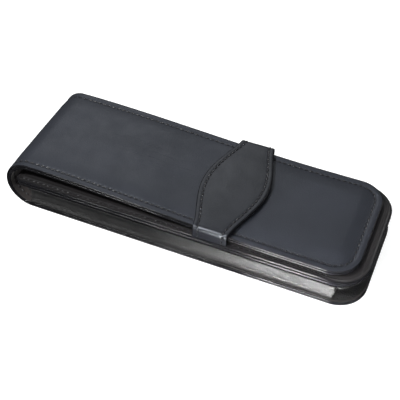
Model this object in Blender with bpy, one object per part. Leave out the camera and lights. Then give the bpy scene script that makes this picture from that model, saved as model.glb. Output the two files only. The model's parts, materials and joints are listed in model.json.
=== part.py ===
"""Leather pen case with a tuck-in flap.

A long leather wrap forms the back panel, turns over at the mouth end and becomes the flap. A flat
pocket for two pens stands on the back panel: a gusset strip, a divider and a stiffened front panel.
The flap's free end is tucked under a barrel-shaped band that is fixed to the front panel.

Frame: origin at the bottom centre of the closed case, +X towards the closed end, +Z up. Metres.
"""
import math

import bmesh
import bpy

MM = 0.001

# Driving dimensions
LENGTH = 164.0 * MM
BACK_HALF_WIDTH = 29.5 * MM
FLAP_HALF_WIDTH = 27.3 * MM
FOLD_RADIUS = 11.35 * MM
WRAP_THICKNESS = 2.4 * MM
WRAP_OUTER_PLY = 0.9 * MM
WRAP_LINING_PLY = 0.8 * MM
FOLD_SEGMENTS = 6
JOINT_GAP = 0.3 * MM

# Back panel, from the table up
BACK_OUTER_TOP = 0.8 * MM
BACK_BOARD_BOTTOM = 1.0 * MM
BACK_BOARD_TOP = 1.4 * MM
BACK_LINING_BOTTOM = 1.6 * MM
BACK_LINING_TOP = 2.2 * MM
BACK_CORNER = 13.0 * MM

# Pocket
GUSSET_BOTTOM = 2.5 * MM
GUSSET_TOP = 11.4 * MM
GUSSET_PLY = 0.9 * MM
FLANGE_PLY = 0.6 * MM
GUSSET_HALF_WIDTH = 27.3 * MM
GUSSET_END = 79.6 * MM
GUSSET_MOUTH = -70.2 * MM
GUSSET_CORNER = 11.0 * MM
FLANGE_REACH = 1.9 * MM
DIVIDER_PLY = 0.8 * MM
DIVIDER_FLANGE = 0.4 * MM
DIVIDER_FLANGE_HALF = 4.0 * MM
DIVIDER_MOUTH = -66.0 * MM
DIVIDER_END = 76.0 * MM

# Front panel
FRONT_LINING_BOTTOM = 11.7 * MM
FRONT_LINING_TOP = 12.5 * MM
FRONT_BOARD_BOTTOM = 12.7 * MM
FRONT_BOARD_TOP = 13.8 * MM
FRONT_OUTER_BOTTOM = 14.0 * MM
FRONT_OUTER_TOP = 14.9 * MM
FRONT_MOUTH = -76.5 * MM
FRONT_MOUTH_CORNER = 5.0 * MM
FRONT_CORNER = 14.5 * MM
BOARD_INSET = 3.2 * MM

# Flap
FLAP_END = 77.4 * MM
FLAP_CORNER = 11.5 * MM
FLAP_REST = 15.3 * MM
FLAP_LEVEL_FROM = 50.0 * MM
FLAP_PAD_INSET = 5.0 * MM
FLAP_PAD_BOTTOM = 0.95 * MM
FLAP_PAD_TOP = 1.25 * MM

# Band
BAND_CENTRE = 16.7 * MM
BAND_HALF_MIDDLE = 14.6 * MM
BAND_HALF_END = 7.7 * MM
BAND_TOP = 21.25 * MM
BAND_OUTER_PLY = 0.8 * MM
BAND_LINING_PLY = 0.5 * MM
BAND_HALF_SPAN = 29.4 * MM
BAND_BEND = 2.2 * MM
BAND_PLY_GAP = 0.3 * MM
BAND_TAIL_BOTTOM = 15.1 * MM
BAND_TAIL_TOP = 15.6 * MM
BAND_TAIL_INNER = 20.0 * MM

# Thread
THREAD_RADIUS = 0.2 * MM
PANEL_STITCH_INSET = 1.5 * MM
FLAP_STITCH_INSET = 3.3 * MM
FLAP_THREAD_RADIUS = 0.15 * MM
BAND_STITCH_INSET = 2.3 * MM
THREAD_LIFT = 0.1 * MM

# Fineness of the outlines
CORNER_STEPS = 8
ARCH_STEPS = 14
SEGMENT_STEPS = 4
BARREL_STEPS = 16

FOLD_CENTRE_X = -LENGTH / 2 + FOLD_RADIUS
CLOSED_END = LENGTH / 2


def clear_scene():
    for item in list(bpy.data.objects):
        bpy.data.objects.remove(item, do_unlink=True)


def make_collection(name):
    collection = bpy.data.collections.new(name)
    bpy.context.scene.collection.children.link(collection)
    return collection


def make_material(name, colour, roughness):
    material = bpy.data.materials.new(name)
    material.use_nodes = True
    shader = material.node_tree.nodes["Principled BSDF"]
    shader.inputs["Base Color"].default_value = (*colour, 1.0)
    shader.inputs["Roughness"].default_value = roughness
    shader.inputs["Metallic"].default_value = 0.0
    return material


clear_scene()
PARTS = make_collection("pen_case")
CUTTERS = make_collection("cutters")
EMPTIES = make_collection("joint_axes")

MATERIALS = {
    "leather": make_material("black_leather", (0.035, 0.036, 0.040), 0.42),
    "gusset": make_material("pebbled_leather", (0.055, 0.055, 0.057), 0.40),
    "lining": make_material("lining_leather", (0.016, 0.013, 0.013), 0.60),
    "board": make_material("stiffener_board", (0.25, 0.20, 0.14), 0.85),
    "pad": make_material("felt_pad", (0.10, 0.10, 0.10), 0.95),
    "thread": make_material("black_thread", (0.010, 0.010, 0.011), 0.50),
}


# Outlines: lists of (a, b) points, counter-clockwise

def arc(centre_a, centre_b, radius, start_deg, end_deg, steps):
    points = []
    for i in range(steps + 1):
        angle = math.radians(start_deg + (end_deg - start_deg) * i / steps)
        points.append((centre_a + radius * math.cos(angle), centre_b + radius * math.sin(angle)))
    return points


def panel_outline(left, right, half_width, left_radius, right_radius):
    """A strip from left to right; a radius of 0 leaves that end's corners square."""
    points = []
    corners = (
        (left, -half_width, 1, 1, left_radius, 180),
        (right, -half_width, -1, 1, right_radius, 270),
        (right, half_width, -1, -1, right_radius, 0),
        (left, half_width, 1, -1, left_radius, 90),
    )
    for x, y, side_x, side_y, radius, start in corners:
        if radius == 0:
            points.append((x, y))
        else:
            points += arc(x + side_x * radius, y + side_y * radius, radius,
                          start, start + 90, CORNER_STEPS)
    return points


def u_path(mouth, end, half_width, radius):
    """An open path: in from the mouth on the near side, round the closed end, and back."""
    points = [(mouth, -half_width)]
    points += arc(end - radius, -half_width + radius, radius, -90, 0, CORNER_STEPS)
    points += arc(end - radius, half_width - radius, radius, 0, 90, CORNER_STEPS)
    points.append((mouth, half_width))
    return points


def u_outline(mouth, end, half_width, radius, outside, inside):
    """A strip that follows the u path, from inside it to outside it."""
    outer = u_path(mouth, end + outside, half_width + outside, radius + outside)
    inner = u_path(mouth, end - inside, half_width - inside, radius - inside)
    return outer + inner[::-1]


def arch_height(x):
    """Height of the flap's underside: high at the fold, level from FLAP_LEVEL_FROM on."""
    high = 2 * FOLD_RADIUS - WRAP_THICKNESS
    t = (x - FOLD_CENTRE_X) / (FLAP_LEVEL_FROM - FOLD_CENTRE_X)
    t = min(max(t, 0.0), 1.0)
    return high + (FLAP_REST - high) * t * t * (3 - 2 * t)


def arch_line(left, right, lift):
    """Points along the flap's side profile, lift above its underside."""
    points = []
    level_from = min(FLAP_LEVEL_FROM, right)
    for i in range(ARCH_STEPS + 1):
        x = left + (level_from - left) * i / ARCH_STEPS
        points.append((x, arch_height(x) + lift))
    if right > level_from:
        points.append((right, arch_height(right) + lift))
    return points


def barrel_half_width(y):
    """Half the band's width at y: widest in the middle, narrow at the two long edges."""
    phase = min(abs(y) / BAND_HALF_SPAN, 1.0) * math.pi / 2
    return BAND_HALF_END + (BAND_HALF_MIDDLE - BAND_HALF_END) * math.cos(phase) ** 1.5


def barrel_side(side, inset):
    """Points down one side of the band, from the near edge to the far edge."""
    points = []
    for i in range(BARREL_STEPS + 1):
        y = -BAND_HALF_SPAN + 2 * BAND_HALF_SPAN * i / BARREL_STEPS
        points.append((BAND_CENTRE + side * (barrel_half_width(y) - inset), y))
    return points


# Shapes

def flat_curve(name, points, thickness, collection):
    """A closed outline in its own XY plane, extruded half its thickness each way."""
    curve = bpy.data.curves.new(name, "CURVE")
    curve.dimensions = "2D"
    curve.fill_mode = "BOTH"
    curve.extrude = thickness / 2
    spline = curve.splines.new("POLY")
    spline.points.add(len(points) - 1)
    for point, (a, b) in zip(spline.points, points):
        point.co = (a, b, 0.0, 1.0)
    spline.use_cyclic_u = True
    item = bpy.data.objects.new(name, curve)
    collection.objects.link(item)
    return item


def as_mesh(item, collection):
    """The curve object's shape as a welded mesh object in the same place."""
    bpy.context.view_layer.update()
    graph = bpy.context.evaluated_depsgraph_get()
    mesh = bpy.data.meshes.new_from_object(item.evaluated_get(graph))
    form = bmesh.new()
    form.from_mesh(mesh)
    bmesh.ops.remove_doubles(form, verts=form.verts, dist=1e-6)
    bmesh.ops.recalc_face_normals(form, faces=form.faces)
    form.to_mesh(mesh)
    form.free()
    name = item.name
    solid = bpy.data.objects.new(name + "_solid", mesh)
    solid.matrix_world = item.matrix_world.copy()
    bpy.data.objects.remove(item, do_unlink=True)
    solid.name = name
    collection.objects.link(solid)
    return solid


def lay(item, bottom, top):
    """Places a plan outline between two heights."""
    item.location = (0.0, 0.0, (bottom + top) / 2)


def stand_along_y(item):
    """Turns an outline of (x, z) points so that its thickness runs along Y."""
    item.rotation_euler = (math.pi / 2, 0.0, 0.0)


def stand_along_x(item, x):
    """Turns an outline of (y, z) points so that its thickness runs along X."""
    item.rotation_euler = (math.pi / 2, 0.0, math.pi / 2)
    item.location = (x, 0.0, 0.0)


def boolean(item, operation, other):
    modifier = item.modifiers.new(operation.lower(), "BOOLEAN")
    modifier.operation = operation
    modifier.object = other
    modifier.solver = "EXACT"


def as_cutter(item):
    item.hide_render = True
    item.display_type = "WIRE"


def finish(item, material):
    item.data.materials.clear()
    item.data.materials.append(MATERIALS[material])
    return item


def sheet(name, points, bottom, top, material):
    item = flat_curve(name, points, top - bottom, PARTS)
    lay(item, bottom, top)
    return finish(item, material)


def hang_on(item, joint):
    """Parents a piece to the empty on its joint's axis without moving it."""
    bpy.context.view_layer.update()
    place = item.matrix_world.copy()
    item.parent = joint
    item.matrix_parent_inverse = joint.matrix_world.inverted()
    item.matrix_world = place


def thread(name, points, radius, heights):
    """A continuous thread through plan points, at one height for each point."""
    curve = bpy.data.curves.new(name, "CURVE")
    curve.dimensions = "3D"
    curve.bevel_depth = radius
    curve.bevel_resolution = 2
    curve.use_fill_caps = True
    spline = curve.splines.new("POLY")
    spline.points.add(len(points) - 1)
    for point, (x, y), z in zip(spline.points, points, heights):
        point.co = (x, y, z, 1.0)
    item = bpy.data.objects.new(name, curve)
    PARTS.objects.link(item)
    return finish(item, "thread")


# Sub-assemblies

def make_back_panel():
    start = FOLD_CENTRE_X + JOINT_GAP / 2
    outline = panel_outline(start, CLOSED_END, BACK_HALF_WIDTH, 0, BACK_CORNER)
    sheet("back_outer", outline, 0.0, BACK_OUTER_TOP, "leather")
    sheet("back_lining", outline, BACK_LINING_BOTTOM, BACK_LINING_TOP, "lining")
    board = panel_outline(start + BOARD_INSET, CLOSED_END - BOARD_INSET,
                          BACK_HALF_WIDTH - BOARD_INSET, 0, BACK_CORNER - BOARD_INSET)
    sheet("back_board", board, BACK_BOARD_BOTTOM, BACK_BOARD_TOP, "board")
    path = u_path(start, CLOSED_END - PANEL_STITCH_INSET, BACK_HALF_WIDTH - PANEL_STITCH_INSET,
                  BACK_CORNER - PANEL_STITCH_INSET)
    height = (BACK_OUTER_TOP + BACK_LINING_BOTTOM) / 2
    thread("back_thread", path, THREAD_RADIUS, [height] * len(path))


def make_gusset():
    """One strip round three sides, turned outwards along its top and its bottom."""
    wall_outline = u_outline(GUSSET_MOUTH, GUSSET_END, GUSSET_HALF_WIDTH, GUSSET_CORNER,
                             0.0, GUSSET_PLY)
    flange_outline = u_outline(GUSSET_MOUTH, GUSSET_END, GUSSET_HALF_WIDTH, GUSSET_CORNER,
                               FLANGE_REACH, GUSSET_PLY)
    wall = flat_curve("gusset", wall_outline, GUSSET_TOP - GUSSET_BOTTOM, PARTS)
    lay(wall, GUSSET_BOTTOM, GUSSET_TOP)
    wall = as_mesh(wall, PARTS)
    for name, bottom in (("lower", GUSSET_BOTTOM), ("upper", GUSSET_TOP - FLANGE_PLY)):
        flange = flat_curve("gusset_flange_" + name, flange_outline, FLANGE_PLY, CUTTERS)
        lay(flange, bottom, bottom + FLANGE_PLY)
        flange = as_mesh(flange, CUTTERS)
        as_cutter(flange)
        boolean(wall, "UNION", flange)
    finish(wall, "gusset")


def make_divider():
    """A leather strip on edge between the two pens, with a turned foot and head."""
    half = DIVIDER_PLY / 2
    foot = GUSSET_BOTTOM + DIVIDER_FLANGE
    head = GUSSET_TOP - DIVIDER_FLANGE
    section = [
        (-DIVIDER_FLANGE_HALF, GUSSET_BOTTOM), (DIVIDER_FLANGE_HALF, GUSSET_BOTTOM),
        (DIVIDER_FLANGE_HALF, foot), (half, foot), (half, head), (DIVIDER_FLANGE_HALF, head),
        (DIVIDER_FLANGE_HALF, GUSSET_TOP), (-DIVIDER_FLANGE_HALF, GUSSET_TOP),
        (-DIVIDER_FLANGE_HALF, head), (-half, head), (-half, foot), (-DIVIDER_FLANGE_HALF, foot),
    ]
    item = flat_curve("divider", section, DIVIDER_END - DIVIDER_MOUTH, PARTS)
    stand_along_x(item, (DIVIDER_MOUTH + DIVIDER_END) / 2)
    finish(item, "lining")


def make_front_panel():
    outline = panel_outline(FRONT_MOUTH, CLOSED_END, BACK_HALF_WIDTH, FRONT_MOUTH_CORNER,
                            FRONT_CORNER)
    sheet("front_lining", outline, FRONT_LINING_BOTTOM, FRONT_LINING_TOP, "lining")
    sheet("front_outer", outline, FRONT_OUTER_BOTTOM, FRONT_OUTER_TOP, "leather")
    board = panel_outline(FRONT_MOUTH + BOARD_INSET, CLOSED_END - BOARD_INSET,
                          BACK_HALF_WIDTH - BOARD_INSET, FRONT_MOUTH_CORNER - BOARD_INSET,
                          FRONT_CORNER - BOARD_INSET)
    sheet("front_board", board, FRONT_BOARD_BOTTOM, FRONT_BOARD_TOP, "board")
    path = u_path(FRONT_MOUTH + FRONT_MOUTH_CORNER, CLOSED_END - PANEL_STITCH_INSET,
                  BACK_HALF_WIDTH - PANEL_STITCH_INSET, FRONT_CORNER - PANEL_STITCH_INSET)
    height = (FRONT_LINING_TOP + FRONT_OUTER_BOTTOM) / 2
    thread("front_thread", path, THREAD_RADIUS, [height] * len(path))


def band_line(depth, bottom, tail):
    """The band's cross-section line, depth inside its outer face: up, over and down."""
    half = BAND_HALF_SPAN - depth
    top = BAND_TOP - depth
    bend = BAND_BEND - depth
    line = [(half, bottom)]
    line += arc(half - bend, top - bend, bend, 0, 90, CORNER_STEPS)
    line += arc(-half + bend, top - bend, bend, 90, 180, CORNER_STEPS)
    line.append((-half, bottom))
    if tail:
        line = [(BAND_TAIL_INNER, bottom)] + line + [(-BAND_TAIL_INNER, bottom)]
    return line


def band_plan():
    """The band's barrel-shaped outline, run square past its two narrow ends."""
    beyond = BAND_HALF_SPAN + MM
    right = barrel_side(1, 0.0)
    left = barrel_side(-1, 0.0)[::-1]
    right = [(right[0][0], -beyond)] + right + [(right[-1][0], beyond)]
    left = [(left[0][0], beyond)] + left + [(left[-1][0], -beyond)]
    return right + left


def make_band():
    """Two plies over the flap. The outer ply's tails turn in and lie on the front panel."""
    width = 2 * BAND_HALF_MIDDLE + 2 * MM
    outer = flat_curve(
        "band_outer",
        band_line(0.0, BAND_TAIL_BOTTOM, True) + band_line(BAND_OUTER_PLY, BAND_TAIL_TOP, True)[::-1],
        width, PARTS)
    lining_depth = BAND_OUTER_PLY + BAND_PLY_GAP
    lining_bottom = BAND_TAIL_TOP + JOINT_GAP
    lining = flat_curve(
        "band_lining",
        band_line(lining_depth, lining_bottom, False)
        + band_line(lining_depth + BAND_LINING_PLY, lining_bottom, False)[::-1],
        width, PARTS)
    for item, slot in ((outer, "leather"), (lining, "lining")):
        stand_along_x(item, BAND_CENTRE)
        solid = as_mesh(item, PARTS)
        plan = flat_curve(solid.name + "_plan", band_plan(), 2 * BAND_TOP, CUTTERS)
        lay(plan, 0.0, 2 * BAND_TOP)
        plan = as_mesh(plan, CUTTERS)
        as_cutter(plan)
        boolean(solid, "INTERSECT", plan)
        finish(solid, slot)
    height = BAND_TOP + THREAD_LIFT + THREAD_RADIUS
    for name, side in (("left", -1), ("right", 1)):
        path = barrel_side(side, BAND_STITCH_INSET)[1:-1]
        thread("band_thread_" + name, path, THREAD_RADIUS, [height] * len(path))


def fold_point(angle_deg, radius):
    """A point on the fold, angle_deg round from the table, as (x, z)."""
    angle = math.radians(angle_deg)
    return (FOLD_CENTRE_X - radius * math.sin(angle), FOLD_RADIUS - radius * math.cos(angle))


def fold_half_width(angle_deg):
    """The wrap narrows evenly round the fold, from the back panel's width to the flap's."""
    return BACK_HALF_WIDTH + (FLAP_HALF_WIDTH - BACK_HALF_WIDTH) * angle_deg / 180


def make_joint_axes():
    """Empties on the outer face of the fold, one at each line where the wrap bends."""
    axes = []
    step = 180 / FOLD_SEGMENTS
    parent = None
    for i in range(FOLD_SEGMENTS + 1):
        x, z = fold_point(i * step, FOLD_RADIUS)
        axis = bpy.data.objects.new(f"fold_axis_{i + 1}", None)
        axis.empty_display_size = 5 * MM
        axis.location = (x, 0.0, z)
        EMPTIES.objects.link(axis)
        if parent:
            hang_on(axis, parent)
        axes.append(axis)
        parent = axis
    bpy.context.view_layer.update()
    return axes


def fold_ply(name, start, end, outer_radius, inner_radius, material, axis):
    """One ply of one segment of the fold, an arc extruded across the case."""
    trim = math.degrees(JOINT_GAP / 2 / FOLD_RADIUS)
    points = []
    for radius, first, last in ((outer_radius, end - trim, start + trim),
                                (inner_radius, start + trim, end - trim)):
        for i in range(SEGMENT_STEPS + 1):
            points.append(fold_point(first + (last - first) * i / SEGMENT_STEPS, radius))
    width = 2 * fold_half_width((start + end) / 2)
    item = flat_curve(name, points, width, PARTS)
    stand_along_y(item)
    finish(item, material)
    hang_on(item, axis)


def make_fold(axes):
    step = 180 / FOLD_SEGMENTS
    inner = FOLD_RADIUS - WRAP_THICKNESS
    for i in range(FOLD_SEGMENTS):
        start = i * step
        end = start + step
        fold_ply(f"fold_outer_{i + 1}", start, end, FOLD_RADIUS, FOLD_RADIUS - WRAP_OUTER_PLY,
                 "leather", axes[i])
        fold_ply(f"fold_lining_{i + 1}", start, end, inner + WRAP_LINING_PLY, inner,
                 "lining", axes[i])


def flap_ply(name, left, inset, corner, bottom, top, material):
    """One layer of the flap: its arched side profile, trimmed to its plan outline."""
    right = FLAP_END - inset
    profile = arch_line(left, right, bottom) + arch_line(left, right, top)[::-1]
    half_width = FLAP_HALF_WIDTH - inset
    ply = flat_curve(name, profile, 2 * half_width + 2 * MM, PARTS)
    stand_along_y(ply)
    ply = as_mesh(ply, PARTS)
    plan = flat_curve(name + "_plan", panel_outline(left - MM, right, half_width, 0, corner),
                      2 * BAND_TOP, CUTTERS)
    lay(plan, 0.0, 2 * BAND_TOP)
    plan = as_mesh(plan, CUTTERS)
    as_cutter(plan)
    boolean(ply, "INTERSECT", plan)
    return finish(ply, material)


def make_flap(axis):
    left = FOLD_CENTRE_X + JOINT_GAP / 2
    outer_bottom = WRAP_THICKNESS - WRAP_OUTER_PLY
    pieces = [
        flap_ply("flap_outer", left, 0.0, FLAP_CORNER, outer_bottom, WRAP_THICKNESS, "leather"),
        flap_ply("flap_pad", left + FLAP_PAD_INSET, FLAP_PAD_INSET, FLAP_CORNER - FLAP_PAD_INSET,
                 FLAP_PAD_BOTTOM, FLAP_PAD_TOP, "pad"),
        flap_ply("flap_lining", left, 0.0, FLAP_CORNER, 0.0, WRAP_LINING_PLY, "lining"),
    ]
    half_width = FLAP_HALF_WIDTH - FLAP_STITCH_INSET
    corners = u_path(left, FLAP_END - FLAP_STITCH_INSET, half_width,
                     FLAP_CORNER - FLAP_STITCH_INSET)[1:-1]
    lift = (outer_bottom + WRAP_LINING_PLY) / 2
    near = [(x, -half_width) for x, _ in arch_line(left, FLAP_LEVEL_FROM, 0.0)]
    far = [(x, half_width) for x, _ in near[::-1]]
    path = near + corners + far
    heights = [arch_height(x) + lift for x, _ in path]
    pieces.append(thread("flap_thread", path, FLAP_THREAD_RADIUS, heights))
    for piece in pieces:
        hang_on(piece, axis)


def main():
    axes = make_joint_axes()
    make_back_panel()
    make_gusset()
    make_divider()
    make_front_panel()
    make_band()
    make_fold(axes)
    make_flap(axes[-1])


main()
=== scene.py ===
"""Looks for the leather pen case: fine leather plies, stitches, gusset and band around the CAD frame."""
import json
import math

import bmesh
import bpy
from mathutils import Matrix, Vector, noise

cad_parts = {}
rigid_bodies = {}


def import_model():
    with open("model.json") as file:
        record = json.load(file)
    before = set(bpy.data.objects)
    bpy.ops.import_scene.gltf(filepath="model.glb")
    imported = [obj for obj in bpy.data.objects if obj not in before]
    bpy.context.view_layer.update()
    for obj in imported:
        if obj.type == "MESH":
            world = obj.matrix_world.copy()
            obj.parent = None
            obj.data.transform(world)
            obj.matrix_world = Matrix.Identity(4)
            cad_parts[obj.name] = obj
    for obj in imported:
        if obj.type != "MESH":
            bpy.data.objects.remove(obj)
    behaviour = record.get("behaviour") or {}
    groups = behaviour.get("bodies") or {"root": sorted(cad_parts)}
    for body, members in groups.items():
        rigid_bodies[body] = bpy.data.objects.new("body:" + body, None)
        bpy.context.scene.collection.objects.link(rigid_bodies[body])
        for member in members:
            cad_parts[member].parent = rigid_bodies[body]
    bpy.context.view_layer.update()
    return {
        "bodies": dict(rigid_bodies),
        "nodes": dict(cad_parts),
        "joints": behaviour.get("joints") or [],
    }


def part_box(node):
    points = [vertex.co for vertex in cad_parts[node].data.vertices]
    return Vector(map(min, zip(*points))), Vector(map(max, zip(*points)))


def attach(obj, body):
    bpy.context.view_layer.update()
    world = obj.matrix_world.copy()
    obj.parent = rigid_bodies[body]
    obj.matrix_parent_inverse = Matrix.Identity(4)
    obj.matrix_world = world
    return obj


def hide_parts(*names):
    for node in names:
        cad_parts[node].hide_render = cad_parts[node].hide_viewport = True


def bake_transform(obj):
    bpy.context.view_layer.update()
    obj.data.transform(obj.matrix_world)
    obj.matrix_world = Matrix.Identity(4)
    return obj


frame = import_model()

MM = 0.001

# Places and sizes taken from the frame, in millimetres
JOINT = {joint["name"]: [value / MM for value in joint["pos_m"]] for joint in frame["joints"]}


def frame_box(node):
    low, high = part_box(node)
    return [value / MM for value in low], [value / MM for value in high]


FOLD_X = JOINT["flap_open"][0]
FOLD_R = JOINT["fold_bend_7"][2] / 2
FOLD_LENGTH = math.pi * FOLD_R
BACK_HIGH = frame_box("back_outer")[1]
LINING_HIGH = frame_box("back_lining")[1]
FLAP_HIGH = frame_box("flap_outer")[1]
FLAP_INNER_LOW = frame_box("flap_lining")[0]
FRONT_LOW, FRONT_HIGH = frame_box("front_outer")
FRONT_INNER_LOW = frame_box("front_lining")[0]
GUSSET_LOW, GUSSET_HIGH = frame_box("gusset")
BAND_LOW, BAND_HIGH = frame_box("band_outer")

BACK_HALF = BACK_HIGH[1]
FLAP_HALF = FLAP_HIGH[1]
CLOSED_END = BACK_HIGH[0]
WRAP_THICKNESS = 2.4
BACK_THICKNESS = LINING_HIGH[2]
FLAP_LEVEL = FLAP_INNER_LOW[2]
FLAP_LEVEL_FROM = 50.0      # from this x on, the flap lies level on the front panel
THINNING = 8.0              # length over which the wrap thins to the back panel's thickness

# Corners, and how far a row of stitches lies in from its edge
FLAP_STITCH = 3.3
FLAP_CORNER = 11.5
BACK_CORNER = 13.0
FRONT_CORNER = 14.5
FRONT_MOUTH_CORNER = 3.2

# Mesh fineness
STRIP_REACH = 3.0           # how far the fold's first and last strips reach along the panels
STATION = 0.625             # distance between cross-sections
ACROSS = 18                 # faces across a ply
ARC_STEPS = 12              # steps round a corner
EDGE_STEPS = 7              # steps round a ply's edge
SHARP = math.radians(50)


# Small helpers

def smooth(low, high, value):
    t = min(max((value - low) / (high - low), 0.0), 1.0)
    return t * t * (3 - 2 * t)


def bell(value, centre, width):
    return math.exp(-((value - centre) / width) ** 2)


def wobble(x, y, z, size, seed=0.0):
    """Smooth noise between about -1 and 1 with features of the given size in mm."""
    return noise.noise(Vector((x / size + seed, y / size - seed, z / size + 2 * seed)))


def mesh_object(name, points, faces, materials, indices=None):
    mesh = bpy.data.meshes.new(name)
    mesh.from_pydata([(x * MM, y * MM, z * MM) for x, y, z in points], [], faces)
    for material in materials:
        mesh.materials.append(material)
    if indices:
        mesh.polygons.foreach_set("material_index", indices)
    form = bmesh.new()
    form.from_mesh(mesh)
    bmesh.ops.recalc_face_normals(form, faces=form.faces)
    form.to_mesh(mesh)
    form.free()
    mesh.shade_smooth()
    mesh.set_sharp_from_angle(angle=SHARP)
    item = bpy.data.objects.new(name, mesh)
    bpy.context.scene.collection.objects.link(item)
    return item


# The wrap as one long sheet. s runs from the back panel (negative) round the fold (0 to FOLD_LENGTH)
# and along the flap; depth is measured inwards from the outer face.

def arch_height(x):
    """Height of the flap's inner face: it falls from the fold to the front panel."""
    high = 2 * FOLD_R - WRAP_THICKNESS
    return high + (FLAP_LEVEL - high) * smooth(FOLD_X, FLAP_LEVEL_FROM, x)


def fold_point(angle, radius):
    return FOLD_X - radius * math.sin(angle), FOLD_R - radius * math.cos(angle)


def wrap_point(s, y, depth):
    if s <= 0:
        thin = BACK_THICKNESS / WRAP_THICKNESS
        share = thin + (1 - thin) * smooth(-THINNING, 0.0, s)
        return (FOLD_X - s, y, depth * share)
    if s < FOLD_LENGTH:
        x, z = fold_point(s / FOLD_R, FOLD_R - depth)
        return (x, y, z)
    x = FOLD_X + s - FOLD_LENGTH
    return (x, y, arch_height(x) + WRAP_THICKNESS - depth)


def wrap_half(s):
    share = min(max(s / FOLD_LENGTH, 0.0), 1.0)
    return BACK_HALF + (FLAP_HALF - BACK_HALF) * share


def flap_share(s):
    """0 on the back panel and 1 on the flap, changing over the fold's upper part."""
    return smooth(FOLD_LENGTH * 0.35, FOLD_LENGTH + 10.0, s)


# Relief of the leather, in mm: how far its face stands out, by distance from the edge

STITCH_PITCH = 2.5
PUCKER = 0.55               # half width of the dip that a stitch pulls
MARGIN_ROLL = 0.12          # the margin swells between the edge and the stitches
MARGIN_ROLL_AT = 1.9
MARGIN_DROP = 0.10          # and falls to the edge
FLAP_DIP = 0.34             # depth of the stitches' puckers
FLAP_CHANNEL = 0.16         # depth of the channel along them
SWELL = 0.75                # the flap's padded middle
SWELL_FULL = 10.0           # where it reaches its height
UNDER_BAND = 0.75           # share of the swell that is pressed flat under the band
UNDER_BAND_X = 6.0
UNDER_BAND_WIDTH = 17.0
PLAIN_SINK = 0.17           # the back panel's face lies this much lower
LINING_DIP = 0.22


def stitch_dip(inset, along, row, depth, width=PUCKER):
    pucker = 0.50 + 0.50 * math.cos(2 * math.pi * along / STITCH_PITCH)
    return -depth * pucker * bell(inset, row, width)


def wrap_relief(s, y, inset):
    """The outer face: a rolled margin, a sunken stitch row, and on the flap a padded middle."""
    flap = flap_share(s)
    margin = MARGIN_ROLL * bell(inset, MARGIN_ROLL_AT, 0.8) - MARGIN_DROP * smooth(1.1, 0.0, inset)
    dip = stitch_dip(inset, s, FLAP_STITCH, FLAP_DIP) - FLAP_CHANNEL * bell(inset, FLAP_STITCH, 1.3)
    swell = SWELL * smooth(FLAP_STITCH - 0.3, SWELL_FULL, inset)
    x = FOLD_X + s - FOLD_LENGTH
    swell *= 1 - UNDER_BAND * bell(x, UNDER_BAND_X, UNDER_BAND_WIDTH)
    uneven = 0.04 * wobble(s, y, 3.0, 12.0, 1.7) * smooth(0.0, 2.0, inset)
    return margin + dip + flap * swell + uneven - PLAIN_SINK * (1 - flap)


def lining_relief(s, y, inset):
    return stitch_dip(inset, s, FLAP_STITCH, LINING_DIP) + 0.03 * wobble(s, y, 0.0, 11.0, 4.1)


def no_relief(s, y, inset):
    return 0.0


# Ply solids. A ring is (inset, side, height): side 1 is the outer face, -1 the inner, 0 the edge.

def ply_rings(insets, edge_round):
    """Rings from the middle of the outer face, over the rounded edge, to the middle of the inner."""
    rings = [(inset, 1, 1.0) for inset in insets]
    for i in range(EDGE_STEPS):
        angle = math.pi / 2 - math.pi * i / (EDGE_STEPS - 1)
        rings.append((edge_round * (1 - math.cos(angle)), 0, math.sin(angle)))
    rings += [(inset, -1, -1.0) for inset in reversed(insets)]
    return rings


def ring_depth(ring, top, bottom, relief_top, relief_bottom, s, y, inset):
    """Depth below the outer face for a point of a ply that lies between depths top and bottom."""
    _, side, height = ring
    middle = (top + bottom) / 2
    half = (bottom - top) / 2
    rise = relief_top(s, y, inset)
    fall = relief_bottom(s, y, inset)
    if side == 1:
        return top - rise
    if side == -1:
        return bottom + fall
    share = (height + 1) / 2
    return middle - half * height - rise * share + fall * (1 - share)


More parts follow.
